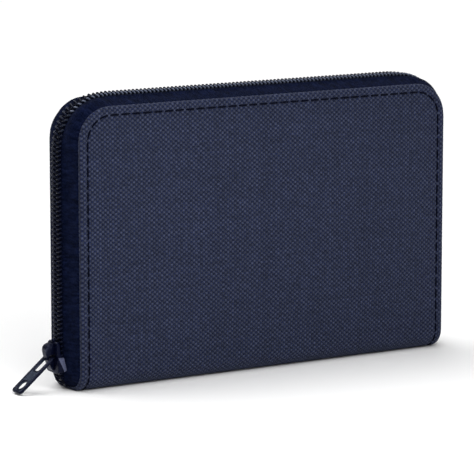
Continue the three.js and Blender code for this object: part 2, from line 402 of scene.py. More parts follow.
def make_mesh(name, points, faces, face_uvs, material, flip=False):
    """A smooth mesh object. face_uvs holds one (u, v) in metres for each corner of each face."""
    if flip:
        faces = [tuple(reversed(face)) for face in faces]
        face_uvs = [list(reversed(corners)) for corners in face_uvs]
    mesh = bpy.data.meshes.new(name)
    mesh.from_pydata(points, [], faces)
    layer = mesh.uv_layers.new(name="ClothMap")
    layer.data.foreach_set("uv", [n for corners in face_uvs for uv in corners for n in uv])
    mesh.shade_smooth()
    mesh.materials.append(material)
    return link(name, mesh)


class Pile:
    """Points, faces and corner UVs of a mesh while it is put together."""

    def __init__(self):
        self.points, self.faces, self.uvs = [], [], []

    def loft(self, rings, along, around, closed=False):
        """Adds a skin over rings of equal length, each closed on itself, with flat ends."""
        base, count = len(self.points), len(rings[0])
        for ring in rings:
            self.points.extend(ring)
        last = len(rings) if closed else len(rings) - 1
        for i in range(last):
            row, following = base + i * count, base + (i + 1) % len(rings) * count
            for j in range(count):
                k = (j + 1) % count
                self.faces.append((row + j, row + k, following + k, following + j))
                u = (along[i], along[i + 1])
                v = (around[j], around[j + 1])
                self.uvs.append([(u[0], v[0]), (u[0], v[1]), (u[1], v[1]), (u[1], v[0])])
        if not closed:
            first = range(base + count - 1, base - 1, -1)
            end = base + (len(rings) - 1) * count
            self.faces.append(tuple(first))
            self.uvs.append([(along[0], around[i - base]) for i in first])
            self.faces.append(tuple(range(end, end + count)))
            self.uvs.append([(along[-2], around[i]) for i in range(count)])

    def finish(self, name, material, flip=False):
        return make_mesh(name, self.points, self.faces, self.uvs, material, flip)


def lengths(points, closed=False):
    """Running distance along a list of points."""
    run = [0.0]
    following = points[1:] + ([points[0]] if closed else [])
    for a, b in zip(points, following):
        run.append(run[-1] + (Vector(b) - Vector(a)).length)
    return run


def on_outline(distance, half, low, top, radius):
    """Point and outward normal, in x and z, on a U with round top corners, from its left foot."""
    side = top - radius - low
    corner = math.pi / 2 * radius
    across = 2 * (half - radius)

    def bend(centre, angle):
        normal = (math.cos(angle), math.sin(angle))
        return (centre + radius * normal[0], top - radius + radius * normal[1]), normal

    if distance <= side:
        return (-half, low + distance), (-1, 0)
    distance -= side
    if distance <= corner:
        return bend(radius - half, math.pi - distance / radius)
    distance -= corner
    if distance <= across:
        return (radius - half + distance, top), (0, 1)
    distance -= across
    if distance <= corner:
        return bend(half - radius, math.pi / 2 - distance / radius)
    distance -= corner
    return (half, top - radius - distance), (1, 0)


def outline_length(half, low, top, radius):
    return 2 * (top - radius - low) + math.pi * radius + 2 * (half - radius)


def on_cover(side, a, b, out):
    """A point of a cover: a across, b up the cloth from the foot's middle, out of its face."""
    along = b - FOOT_HALF
    if along <= 0:
        front, z = b, -out
    elif along < FOLD_LENGTH:
        turn = along / FOLD
        front = FOOT_HALF + (FOLD + out) * math.sin(turn)
        z = FOLD - (FOLD + out) * math.cos(turn)
    else:
        front, z = HALF_THICK + out, FOLD + along - FOLD_LENGTH
    return (a, -side * front, z)


def height_to_sheet(z):
    """The distance along the cloth at which a cover reaches height z."""
    return FOLD_END + z - FOLD


# ---- sheets of the covers

EDGE_LINES = [
    e * MM for e in (0, 0.15, 0.4, 0.75, 1.1, 1.5, 2, 2.4, 2.7, 3, 3.3, 3.6, 4.1, 5, 6.5, 8.5, 12)
]


class Sheet:
    """A rounded panel of one cover as a closed mesh between two surfaces."""

    def __init__(self, side, half, low, top, corner, edges=EDGE_LINES, step=3 * MM, round_low=0):
        self.side, self.half, self.low, self.top = side, half, low, top
        self.corner, self.round_low = corner, round_low
        inner = edges[-1]
        self.across = (
            [-half + e for e in edges]
            + spaced(inner - half, half - inner, step)
            + [half - e for e in reversed(edges)]
        )
        if low < FOLD_END:
            fold = [low] + spaced(low, FOOT_HALF, 1.3 * MM) + [FOOT_HALF]
            fold += spaced(FOOT_HALF, FOLD_END, 0.9 * MM) + [FOLD_END]
            start = FOLD_END
        else:
            fold = [low + e for e in edges]
            start = fold.pop()
            fold.append(start)
        self.up = fold + spaced(start, top - inner, step) + [top - e for e in reversed(edges)]

    def rounded(self, a, b):
        """Moves a point of the square-cornered sheet so that its corners are round."""
        from_top = self.top - b
        corner, centre, upright = self.corner, self.top - self.corner, 1
        if self.round_low and b < (self.low + self.top) / 2:
            from_top = b - self.low
            corner, centre, upright = self.round_low, self.low + self.round_low, -1
        inset = min(self.half - abs(a), from_top)
        radius = corner - inset
        beside, below = self.half - inset - abs(a), from_top - inset
        if radius <= 0 or max(beside, below) >= radius:
            return a, b, inset
        angle = math.pi / 4 * (1 + (beside - below) / radius)
        sign = 1 if a > 0 else -1
        a = sign * (self.half - corner + radius * math.cos(angle))
        return a, centre + upright * radius * math.sin(angle), inset

    def build(self, name, material, outer, inner):
        """outer and inner give each surface's distance out of the cover's face at (a, b, inset)."""
        count, rows = len(self.across), len(self.up)
        flat = [self.rounded(a, b) for b in self.up for a in self.across]
        points = [on_cover(self.side, a, b, outer(a, b, i)) for a, b, i in flat]
        points += [on_cover(self.side, a, b, inner(a, b, i)) for a, b, i in flat]
        under = len(flat)
        faces = []
        for r in range(rows - 1):
            for c in range(count - 1):
                p = r * count + c
                faces.append((p, p + 1, p + count + 1, p + count))
                faces.append(tuple(under + n for n in (p, p + count, p + count + 1, p + 1)))
        rim = list(range(count))
        rim += [r * count + count - 1 for r in range(1, rows)]
        rim += [(rows - 1) * count + c for c in range(count - 2, -1, -1)]
        rim += [r * count for r in range(rows - 2, 0, -1)]
        for p, q in zip(rim, rim[1:] + rim[:1]):
            faces.append((q, p, p + under, q + under))
        uvs = [[flat[n % under][:2] for n in face] for face in faces]
        return make_mesh(name, points, faces, uvs, material, flip=self.side < 0)


def cover_rise(side):
    """Shape of the outer cloth: rolled edge, sewn groove and a soft crown over the padding."""

    def rise(a, b, inset):
        upright = smooth((b - FOOT_HALF) / FOLD_LENGTH)
        height = 0.0
        if inset < EDGE_ROLL:
            height -= EDGE_ROLL - math.sqrt(EDGE_ROLL**2 - (EDGE_ROLL - inset) ** 2)
        groove = math.exp(-(((inset - STITCH_INSET) / GROOVE_WIDTH) ** 2))
        height -= GROOVE_DEPTH * groove * smooth(b / (5 * MM))
        height += 0.12 * MM * math.exp(-(((inset - 1.7 * MM) / (0.6 * MM)) ** 2)) * upright
        crown = smooth((inset - STITCH_INSET) / (20 * MM)) * smooth((b - FOLD_END) / (24 * MM))
        dents = noise.noise(Vector((a * 38, b * 38, side * 5.0)))
        height += crown * (CROWN_HEIGHT + CROWN_DENTS * dents)
        return height

    return rise


def outer_shell(name, side):
    sheet = Sheet(side, HALF_WIDTH, 0.0, SHEET_LENGTH, CORNER)
    return sheet.build(name, OUTER_CLOTH, cover_rise(side), lambda a, b, inset: -CLOTH_THICK)


def stitches(name, side, start, total, pitch, length, mesh, radius, skin):
    """A row of short threads on a cover.

    mesh holds the rings and sides of one thread. skin gives a point of it from the distance
    along the row, the place along the stitch (-1 to 1), the thickness there and an angle.
    """
    rings, sides = mesh
    count = round(total / pitch)
    pile = Pile()
    for n in range(count):
        centre = start + (n + 0.5) * total / count
        loops, run = [], []
        for i in range(rings):
            t = 2 * i / (rings - 1) - 1
            thick = radius * math.sqrt(max(1 - t**6, 0.04))
            run.append(centre + t * length / 2)
            loops.append([on_cover(side, *skin(run[-1], t, thick, w)) for w in circle(sides)])
        pile.loft(loops, run, girth(THREAD_RADIUS, sides))
    return pile.finish(name, THREAD, flip=side > 0)


def topstitching(name, side):
    """Stitches along the U of a cover's edge, in the groove of the cloth."""
    rise = cover_rise(side)
    outline = (
        HALF_WIDTH - STITCH_INSET,
        5 * MM,
        SHEET_LENGTH - STITCH_INSET,
        CORNER - STITCH_INSET,
    )

    def skin(distance, t, thick, w):
        (a, b), normal = on_outline(distance, *outline)
        lift = rise(a, b, STITCH_INSET) + THREAD_RADIUS * (0.75 - 1.5 * t**4)
        a += normal[0] * thick * math.cos(w)
        b += normal[1] * thick * math.cos(w)
        return a, b, lift + thick * math.sin(w)

    total = outline_length(*outline)
    mesh = (9, 8)
    return stitches(
        name, side, 0.0, total, STITCH_PITCH, STITCH_LENGTH, mesh, THREAD_RADIUS, skin
    )


# ---- the zip


ZIP_LENGTH = outline_length(HALF_WIDTH, TAIL_HEIGHT, TOP, CORNER) + 2 * TAIL_LENGTH


def zip_point(side, distance, out, front):
    """A point of the zip: along its run, out of the outline, in front of the middle plane."""
    end = ZIP_LENGTH - TAIL_LENGTH
    if TAIL_LENGTH <= distance <= end:
        past = distance - TAIL_LENGTH
        (x, z), normal = on_outline(past, HALF_WIDTH, TAIL_HEIGHT, TOP, CORNER)
        keep = 1.0
    else:
        hand = -1 if distance < TAIL_LENGTH else 1
        past = TAIL_LENGTH - distance if hand < 0 else distance - end
        turn = past / TAIL_RADIUS
        normal = (hand * math.cos(turn), -math.sin(turn))
        x = hand * (HALF_WIDTH - TAIL_RADIUS * (1 - math.cos(turn)))
        z = TAIL_HEIGHT - TAIL_RADIUS * math.sin(turn)
        keep = 1 - 0.9 * turn / TAIL_TURN
    side_of_coil = 2.9 * MM
    if z < FOLD and front > side_of_coil:
        edge = FOOT_HALF + math.sqrt(FOLD**2 - (FOLD - z) ** 2)
        room = (edge - CLOTH_THICK - side_of_coil) / (HALF_THICK - CLOTH_THICK - side_of_coil)
        front = side_of_coil + (front - side_of_coil) * max(room, 0.05)
    if out > 0:
        out *= keep
    return (x + normal[0] * out, -side * front, z + normal[1] * out)


def zip_stations(step, corner_step):
    """Distances along the zip, closer together round its corners and tails."""
    straight = TOP - CORNER - TAIL_HEIGHT
    corner = math.pi / 2 * CORNER
    marks = [0, TAIL_LENGTH, TAIL_LENGTH + straight]
    marks += [marks[-1] + corner, ZIP_LENGTH - marks[-1] - corner, ZIP_LENGTH - marks[-1]]
    marks += [ZIP_LENGTH - TAIL_LENGTH, ZIP_LENGTH]
    stations = [0.0]
    for i, (low, high) in enumerate(zip(marks, marks[1:])):
        stations += spaced(low, high, corner_step if i % 2 == 0 else step) + [high]
    return stations


def corner_share(distance):
    """1 in the middle of the zip's two corners, 0 along its straights."""
    corner = math.pi / 2 * CORNER
    middle = TAIL_LENGTH + TOP - CORNER - TAIL_HEIGHT + corner / 2
    away = min(abs(distance - middle), abs(ZIP_LENGTH - distance - middle))
    return smooth(1 - (away - 0.15 * corner) / (0.65 * corner))


def pucker(distance, front):
    """At a corner the coil sinks and the tapes beside it bulge."""
    front = abs(front) / MM
    share = corner_share(distance)
    bulge = 1.0 * math.exp(-(((front - 5.8) / 2.0) ** 2))
    return share * (bulge - 0.9 * smooth((4.2 - front) / 2)) * MM


# The tape across its width, in millimetres out of the outline and from the middle plane: flat
# under the coil, then sloping down to the cover, then turned in under it.
TAPE_SECTION = [
    (2.45, 0.08), (2.5, 1.0), (2.5, 2.0), (2.4, 2.9), (1.95, 3.6), (1.55, 4.7), (1.15, 6.0),
    (0.75, 7.3), (0.38, 8.5), (0.1, 9.3), (-0.35, 9.7), (-1.2, 9.75), (-3.0, 9.75),
]


def zip_tape(name, side):
    outer = [(out * MM, front * MM) for out, front in TAPE_SECTION]
    inner = []
    for i, (out, front) in enumerate(outer):
        before, after = outer[max(i - 1, 0)], outer[min(i + 1, len(outer) - 1)]
        along = Vector((after[0] - before[0], after[1] - before[1])).normalized()
        inner.append((out - along.y * TAPE_THICK, front + along.x * TAPE_THICK))
    section = outer + inner[::-1]
    stations = zip_stations(2.2 * MM, 1.0 * MM)
    pile = Pile()
    rings = []
    for s in stations:
        ring = []
        for out, front in section:
            middle = 1 - abs(front / MM - 6) / 4
            ripple = noise.noise(Vector((s * 140, front * 120, side * 3.0)))
            out += max(middle, 0) * 0.16 * MM * ripple + pucker(s, front)
            ring.append(zip_point(side, s, out, front))
        rings.append(ring)
    pile.loft(rings, stations, lengths([(a, b, 0) for a, b in section], closed=True))
    return pile.finish(name, TAPE_CLOTH, flip=side < 0)


# The spiral's middle, its half width and half height, and how far it dips at the middle plane.
COIL_OUT = 3.0 * MM
COIL_FRONT = 1.2 * MM
COIL_REACH = 1.55 * MM
COIL_RISE = 0.52 * MM
COIL_VALLEY = 0.36 * MM
COIL_TURNS = int(ZIP_LENGTH / COIL_PITCH - 1)
COIL_STEP = ZIP_LENGTH / (COIL_TURNS + 1)


def tube(pile, centres, reference, radius, sides):
    """A tube round a list of points; reference gives a vector roughly across it at each point."""
    skin = []
    for i, centre in enumerate(centres):
        ahead = centres[min(i + 1, len(centres) - 1)] - centres[max(i - 1, 0)]
        ahead.normalize()
        first = reference[i] - ahead * reference[i].dot(ahead)
        first.normalize()
        second = ahead.cross(first)
        spokes = [first * math.cos(w) + second * math.sin(w) for w in circle(sides)]
        skin.append([tuple(centre + spoke * radius) for spoke in spokes])
    along = lengths([tuple(c) for c in centres]) + [0.0]
    pile.loft(skin, along, girth(radius, sides))


def zip_coil(name, side):
    """One half of the chain: a flattened spiral whose heads reach past the middle plane."""
    steps = 12
    offset = 0.5 * COIL_STEP if side < 0 else 0.0
    centres, reference = [], []
    for i in range(COIL_TURNS * steps + 1):
        turn = i / steps
        share = turn % 1
        lag = 0.6 * share if share < 0.5 else 0.3 + 1.4 * (share - 0.5)
        s = offset + (math.floor(turn) + lag) * COIL_STEP
        front = COIL_FRONT + COIL_REACH * math.cos(math.tau * share)
        valley = COIL_VALLEY * (1 - front / (COIL_FRONT + COIL_REACH))
        out = COIL_OUT - COIL_RISE * math.sin(math.tau * share) - valley + pucker(s, 0)
        centres.append(Vector(zip_point(side, s, out, front)))
        reference.append(Vector(zip_point(side, s + 0.1 * MM, out, front)) - centres[-1])
    pile = Pile()
    tube(pile, centres, reference, COIL_RADIUS, 6)
    coil = pile.finish(name, SIDE_NYLON_PAINTED_SHADE)
    coil.data.materials.append(CORNER_NYLON_PART_SHADE)
    coil.data.materials.append(TOP_NYLON_PAINTED_HIGHLIGHT)
    # Painted light: the outer bends along the top run take the lit copy of the nylon (painted
    # highlight). The outer faces near the top and round the corners take the middle copy.
    # Everything else takes the darkest copy (painted shade).
    for face in coil.data.polygons:
        below = TOP - face.center.z
        outside = abs(face.center.y) - COIL_FRONT
        if below < 0.2 * CORNER and outside > 0.3 * COIL_REACH:
            face.material_index = 2
        elif below < 0.75 * CORNER and outside > 0:
            face.material_index = 1
    return coil


def coil_thread(name, side):
    """The cord inside the coil, and the thread that sews the coil to its tape."""
    pile = Pile()
    stations = zip_stations(2.2 * MM, 1.0 * MM)
    cord_high, cord_wide, sides = 0.3 * MM, 1.1 * MM, 8
    cord = []
    for s in stations:
        middle = COIL_OUT - COIL_VALLEY / 2 + pucker(s, 0)
        oval = [(cord_high * math.sin(w), cord_wide * math.cos(w)) for w in circle(sides)]
        cord.append([zip_point(side, s, middle + up, COIL_FRONT + on) for up, on in oval])
    pile.loft(cord, stations, [0.5 * MM * j for j in range(sides + 1)])
    steps = 6
    crest = COIL_OUT + COIL_RISE + COIL_RADIUS - COIL_VALLEY / 2 - 0.1 * MM
    centres, reference = [], []
    for i in range(COIL_TURNS * steps + 1):
        s = (i / steps + 0.65) * COIL_STEP + (0.5 * COIL_STEP if side < 0 else 0)
        s = min(s, ZIP_LENGTH)
        out = crest - 0.5 * MM * (0.5 - 0.5 * math.cos(math.tau * i / steps)) + pucker(s, 0)
        centres.append(Vector(zip_point(side, s, out, COIL_FRONT + 0.2 * MM)))
        reference.append(Vector((0, 1, 0)))
    tube(pile, centres, reference, 0.12 * MM, 6)
    return pile.finish(name, THREAD, flip=side < 0)


def end_fold(name, hand):
    """The folded tab of tape cloth that closes one end of the spine, inside the tape's tail."""
    rows, columns = 10, 16
    bottom, top = 1.5 * MM, FOLD + 1 * MM
    thick = 0.9 * MM
    pile = Pile()
    rings = []
    for r in range(rows + 1):
        z = bottom + (top - bottom) * r / rows
        deep = FOLD - min(z, FOLD)
        reach = FOOT_HALF + math.sqrt(FOLD**2 - deep**2) - CLOTH_THICK - 0.4 * MM
        outer, inner = [], []
        for c in range(columns + 1):
            t = 2 * c / columns - 1
            swell = (1 - t**2) * (1 - (2 * r / rows - 1) ** 2)
            crease = 0.25 * MM * math.exp(-((t / 0.12) ** 2))
            x = hand * (HALF_WIDTH - 0.8 * MM + 1.1 * MM * swell - crease)
            outer.append((x, t * reach, z))
            inner.append((x - hand * thick, t * reach, z))
        rings.append(outer + inner[::-1])
    run = [(top - bottom) * r / rows for r in range(rows + 1)]
    pile.loft(rings, run, lengths(rings[rows // 2], closed=True))
    return pile.finish(name, TAPE_CLOTH, flip=hand > 0)


# ---- slider and pull tab

BODY_LOW, BODY_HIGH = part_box("slider_body")
SLIDER_MIDDLE = (BODY_LOW.z + BODY_HIGH.z) / 2
SLIDER_HALF = (BODY_HIGH.z - BODY_LOW.z) / 2
PLATE_FACE = -HALF_WIDTH - BODY_LOW.x
PLATE_THICK = 1.0 * MM
PLATE_HALF = BODY_HIGH.y
KNOB = 1.1 * MM
TAB_ANGLE = math.radians(50.5)
TAB_PIVOT = Vector((-HALF_WIDTH - 6.4 * MM, 0, SLIDER_MIDDLE - 0.6 * MM))
TAB_LENGTH = 16.8 * MM
TAB_HALF = 3.2 * MM
TAB_END = 0.55 * MM
TAB_THICK = 1.0 * MM


def slider_point(out, across, up):
    return (-HALF_WIDTH - out, across, SLIDER_MIDDLE + up)


def rounded_polygon(corners, radius, steps=4):
    """The corners of a polygon, each turned into a small arc. A corner may bring its own radius."""
    points = []
    for i, corner in enumerate(corners):
        middle = Vector(corner[:2])
        before, after = Vector(corners[i - 1][:2]), Vector(corners[(i + 1) % len(corners)][:2])
        reach = corner[2] if len(corner) > 2 else radius
        start = middle + (before - middle).normalized() * min(reach, (before - middle).length / 2)
        end = middle + (after - middle).normalized() * min(reach, (after - middle).length / 2)
        for k in range(steps + 1):
            t = k / steps
            points.append(tuple(start * (1 - t) ** 2 + middle * 2 * t * (1 - t) + end * t**2))
    return points


def plate_half(up):
    """Half width of the outer plate: broad shoulders near the nose, which is its lower end."""
    tail = SLIDER_HALF - KNOB
    shoulder = -0.72 * SLIDER_HALF
    if up < shoulder:
        t = (shoulder - up) / (shoulder + SLIDER_HALF)
        return PLATE_HALF * (0.42 + 0.58 * math.sqrt(max(1 - t**2.4, 0)))
    t = (up - shoulder) / (tail - shoulder)
    return PLATE_HALF * (1 - 0.24 * smooth(t) - 0.16 * max(t - 0.9, 0) / 0.1)


def lip_depth(up):
    """How far the plate's side lips reach towards the tapes."""
    depth = 0.25 * MM + smooth((0.8 * MM - up) / (1.0 * MM)) * (1.0 * MM - 0.2 * up)
    return depth * smooth((up + SLIDER_HALF) / (1.2 * MM))


def lip_highlight_line(up):
    """The painted highlight on the slider's side lips lies inside this line."""
    return PLATE_FACE - 0.5 * MM + (up + 1.2 * MM) * 0.42


def slider_top():
    """Outer plate with its two side lips, as one skin over sections along the slider."""
    pile = Pile()
    rings, run = [], []
    low_end, high_end = -SLIDER_HALF, SLIDER_HALF - KNOB
    count = 44
    for i in range(count + 1):
        t = i / count
        up = low_end + (high_end - low_end) * t
        end = min(t, 1 - t) * (high_end - low_end)
        ease = math.sqrt(1 - (1 - min(end / (0.5 * MM), 1)) ** 2)
        half = plate_half(up)
        top = PLATE_FACE - 0.4 * MM * (1 - ease)
        low = PLATE_FACE - PLATE_THICK + 0.3 * MM * (1 - ease)
        lip = low - lip_depth(up)
        wall = half - 0.75 * MM
        crease = max(min(lip_highlight_line(up), top - 0.6 * MM), lip + 0.35 * MM)
        edge = [
            (top, half, 0.45 * MM),
            (crease, half, 0.1 * MM),
            (lip, half, 0.3 * MM),
            (lip, wall, 0.3 * MM),
            (low, wall, 0.1 * MM),
        ]
        far_edge = [(out, -across, reach) for out, across, reach in edge]
        section = [edge[0], (top + 0.12 * MM, 0, 0.1 * MM)] + far_edge + edge[:0:-1]
        path = rounded_polygon(section, 0)
        rings.append([slider_point(out, across, up) for out, across in path])
        run.append(up)
    pile.loft(rings, run, lengths(rings[count // 2], closed=True))
    plate = pile.finish("slider_outer_plate", PAINT)
    plate.data.materials.append(LIP_PAINTED_HIGHLIGHT)
    # Faces on the lower sides of the lips, inside that line, take the lighter copy of the paint: a
    # painted highlight.
    for face in plate.data.polygons:
        out, up = -HALF_WIDTH - face.center.x, face.center.z - SLIDER_MIDDLE
        beside = abs(face.normal.y) > 0.75 and abs(face.center.y) > PLATE_HALF * 0.6
        if beside and up < -0.35 * MM and out < lip_highlight_line(up):
            face.material_index = 1
    return plate


def slider_knob():
    """The round knob at the slider's upper end."""
    pile = Pile()
    rings, run = [], []
    count, sides = 12, 14
    low_end, high_end = SLIDER_HALF - 1.9 * MM, SLIDER_HALF
    for i in range(count + 1):
        t = i / count
        up = low_end + (high_end - low_end) * t
        neck = 0.62 * MM + 0.16 * MM * smooth((t - 0.35) / 0.3)
        radius = neck * math.sqrt(max(1 - max((t - 0.6) / 0.4, 0) ** 2, 0.02))
        ring = [(radius * math.sin(w), radius * math.cos(w)) for w in circle(sides)]
        middle = PLATE_FACE - 0.45 * MM
        rings.append([slider_point(middle + out, across, up) for out, across in ring])
        run.append(up)
    pile.loft(rings, run, [0.3 * MM * j for j in range(sides + 1)])
    return pile.finish("slider_knob", PAINT)


def slider_under():
    """Inner plate and the dividing post between the two halves of the chain."""
    pile = Pile()
    high, low = 2.0 * MM, 1.0 * MM
    low_end, high_end = -4.7 * MM, SLIDER_HALF - KNOB
    rings, run = [], []
    count = 20
    for i in range(count + 1):
        t = i / count
        up = low_end + (high_end - low_end) * t
        end = min(t, 1 - t) * (high_end - low_end)
        half = 2.5 * MM * (0.55 + 0.45 * math.sqrt(1 - (1 - min(end / (2 * MM), 1)) ** 2))
        section = [(high, half), (high, -half), (low, -half), (low, half)]
        path = rounded_polygon(section, 0.3 * MM)
        rings.append([slider_point(out, across, up) for out, across in path])
        run.append(up)
    pile.loft(rings, run, lengths(rings[count // 2], closed=True))
    post = []
    for out in (high - 0.2 * MM, PLATE_FACE - PLATE_THICK + 0.2 * MM):
        oval = [(0.45 * MM * math.sin(w), 1.6 * MM * math.cos(w)) for w in circle(12)]
        post.append([slider_point(out, across, -2.9 * MM + up) for across, up in oval])
    pile.loft(post, [0, 2 * MM], [0.5 * MM * j for j in range(13)])
    return pile.finish("slider_inner_plate", PAINT)


def tab_web(loops):
    """The pull tab's flat middle, cut to closed outlines: the first outside, the rest holes."""
    thick, rounding = 0.56 * MM, 0.05 * MM
    curve = bpy.data.curves.new("pull_tab_web", "CURVE")
    curve.dimensions = "2D"
    curve.fill_mode = "BOTH"
    curve.extrude = thick / 2 - rounding
    curve.bevel_depth = rounding
    curve.bevel_resolution = 3
    curve.offset = -rounding
    for loop in loops:
        spline = curve.splines.new("POLY")
        spline.points.add(len(loop) - 1)
        for point, (x, y) in zip(spline.points, loop):
            point.co = (x, y, 0, 1)
        spline.use_cyclic_u = True
    drawn = link("pull_tab_web_outline", curve)
    bpy.context.view_layer.update()
    mesh = bpy.data.meshes.new_from_object(drawn)
    bpy.data.objects.remove(drawn)
    mesh.name = "pull_tab_web"
    mesh.materials.clear()
    # The web takes the lighter copy of the paint: painted light.
    mesh.materials.append(TAB_PAINT_PAINTED_LIGHT)
    mesh.transform(tab_matrix())
    mesh.shade_smooth()
    piece = link("pull_tab_web", mesh)
    crisp = piece.modifiers.new("crisp", "EDGE_SPLIT")
    crisp.split_angle = math.radians(40)
    return piece


def slider_crown():
    """The cap over the pull tab's end bar, highest near the slider's upper end."""
    base = PLATE_FACE - 0.1 * MM
    pivot_out = -HALF_WIDTH - TAB_PIVOT.x
    pivot_up = TAB_PIVOT.z - SLIDER_MIDDLE
    notch = 1.0 * MM
    ridge = [(-4.7, 6.15), (-2.6, 7.1), (-0.4, 8.05), (1.4, 8.55)]
    ridge += [(2.9, 8.6), (3.8, 8.0), (4.3, 6.9)]
    outline = [(up * MM, out * MM) for up, out in ridge]
    outline = [(-5.3 * MM, base)] + outline + [(4.55 * MM, base)]
    path = rounded_polygon(outline, 0.9 * MM)
    path.append((pivot_up + notch, base))
    for i in range(13):
        turn = math.pi * i / 12
        path.append((pivot_up + notch * math.cos(turn), pivot_out + notch * math.sin(turn)))
    path.append((pivot_up - notch, base))
    half = 1.3 * MM
    points = [slider_point(out, y, up) for y in (-half, half) for up, out in path]
    count = len(path)
    faces = [tuple(range(count)), tuple(reversed(range(count, 2 * count)))]
    for k in range(count):
        after = (k + 1) % count
        faces.append((after, k, count + k, count + after))
    mesh = bpy.data.meshes.new("slider_crown_cap")
    mesh.from_pydata(points, [], faces)
    mesh.materials.append(PAINT)
    mesh.shade_smooth()
    cap = link("slider_crown_cap", mesh)
    rounding = cap.modifiers.new("rounding", "BEVEL")
    rounding.width = 0.4 * MM
    rounding.segments = 3
    rounding.limit_method = "ANGLE"
    rounding.angle_limit = math.radians(40)
    rounding.harden_normals = True
    return cap


def tab_matrix():
    """From the tab's own plane, hanging down with its face in XY, to its place at rest."""
    upright = Matrix(((0, 0, 1), (1, 0, 0), (0, 1, 0))).to_4x4()
    return Matrix.Translation(TAB_PIVOT) @ Matrix.Rotation(TAB_ANGLE, 4, "Y") @ upright


def rounded_loop(half, low, high, radius, steps=6):
    """Points round a rectangle with round corners, in the tab's plane."""
    points = []
    for cx, cy, start in (
        (half - radius, low + radius, -0.5),
        (half - radius, high - radius, 0.0),
        (radius - half, high - radius, 0.5),
        (radius - half, low + radius, 1.0),
    ):
        for i in range(steps + 1):
            angle = math.pi * (start + 0.5 * i / steps)
            points.append((cx + radius * math.cos(angle), cy + radius * math.sin(angle)))
    return points


def tab_rim(name, loop, radius, inward):
    """A raised bead that follows one edge of the pull tab."""
    pile = Pile()
    count = len(loop)
    sides = 12
    placed = tab_matrix()
    rings = []
    for i, (x, y) in enumerate(loop):
        before, after = loop[i - 1], loop[(i + 1) % count]
        ahead = Vector((after[0] - before[0], after[1] - before[1])).normalized()
        inner = Vector((-ahead.y, ahead.x)) * inward
        centre = Vector((x, y)) + inner * radius
        ring = []
        for angle in circle(sides):
            wide = radius * math.copysign(abs(math.cos(angle)) ** 0.7, math.cos(angle))
            high = TAB_THICK / 2 * math.copysign(abs(math.sin(angle)) ** 0.7, math.sin(angle))
            flat = centre + inner * wide
            ring.append(tuple(placed @ Vector((flat.x, flat.y, high))))
        rings.append(ring)
    run = lengths([(x, y, 0) for x, y in loop], closed=True)
    pile.loft(rings, run, girth(radius, sides), closed=True)
    return pile.finish(name, PAINT, flip=inward < 0)


def pull_tab():
    inset = 0.3 * MM
    outline = rounded_loop(TAB_HALF, -TAB_LENGTH, TAB_END, 1.4 * MM)
    slot = rounded_loop(1.8 * MM, -6.5 * MM, -TAB_END, 0.8 * MM)
    hole = rounded_loop(1.6 * MM, -15.1 * MM, -11.7 * MM, 1.3 * MM)
    sheet = rounded_loop(TAB_HALF - inset, inset - TAB_LENGTH, TAB_END - inset, 1.1 * MM)
    return [
        tab_web([sheet, slot, hole]),
        tab_rim("pull_tab_rim", outline, 0.45 * MM, 1),
        tab_rim("pull_tab_slot_rim", slot, 0.3 * MM, -1),
        tab_rim("pull_tab_hole_rim", hole, 0.35 * MM, -1),
    ]


# ---- linings, padding and pockets


def deep(name):
    """How far below the cover's outer face a CAD layer starts and ends."""
    return sorted(HALF_THICK - abs(corner.y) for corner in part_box(name))


SOFT_EDGES = [e * MM for e in (0, 0.3, 0.8, 1.6, 3, 6)]


def cover_lining(name, side):
    shallow, far = deep("front_lining")
    inset = 0.5 * MM
    half, top, corner = HALF_WIDTH - inset, SHEET_LENGTH - inset, CORNER - inset
    sheet = Sheet(side, half, 0.0, top, corner, SOFT_EDGES, step=4 * MM)

    def inner(a, b, edge):
        soft = noise.noise(Vector((a * 55, b * 55, side * 9.0)))
        return -far - 0.25 * MM * soft * smooth(edge / (8 * MM))

    return sheet.build(name, LINING, lambda a, b, edge: -shallow, inner)


def cover_padding(name, side):
    shallow, far = deep("front_foam")
    middle, half = (shallow + far) / 2, (far - shallow) / 2
    low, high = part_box("front_foam")
    bottom, top = height_to_sheet(low.z), height_to_sheet(high.z)
    corner = CORNER - (HALF_WIDTH - high.x)
    sheet = Sheet(side, high.x, bottom, top, corner, SOFT_EDGES, step=6 * MM, round_low=2 * MM)

    def outer(a, b, edge):
        return -middle + half * (0.35 + 0.65 * smooth(edge / (6 * MM)))

    def inner(a, b, edge):
        return -middle - half * (0.35 + 0.65 * smooth(edge / (2 * MM)))

    return sheet.build(name, FOAM, outer, inner)


def spine_padding():
    """The padding in the spine: a soft U that thins towards its edges."""
    shallow, far = 1.3 * MM, 3.0 * MM
    low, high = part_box("spine_padding")
    pile = Pile()
    rings, run = [], []
    rows, columns = 24, 40
    places = [-FOLD_END + 2 * FOLD_END * i / columns for i in range(columns + 1)]
    for step in range(rows + 1):
        x = low.x + (high.x - low.x) * step / rows
        end = smooth(min(x - low.x, high.x - x) / (4 * MM))
        outer, inner = [], []
        for b in places:
            edge = smooth((FOLD_END - abs(b)) / (4 * MM))
            half = (far - shallow) / 2 * (0.3 + 0.7 * edge * (0.4 + 0.6 * end))
            middle = (far + shallow) / 2
            facing = 1 if b >= 0 else -1
            outer.append(on_cover(facing, x, abs(b), half - middle))
            inner.append(on_cover(facing, x, abs(b), -half - middle))
        rings.append(outer + inner[::-1])
        run.append(x)
    pile.loft(rings, run, lengths(rings[0], closed=True))
    return pile.finish("spine_soft_padding", FOAM, flip=True)


def bow_share(across, half):
    """1 in the middle of a pocket's mouth, 0 at its two ends."""
    return math.cos(math.pi / 2 * min(abs(across) / half, 1)) ** 0.6


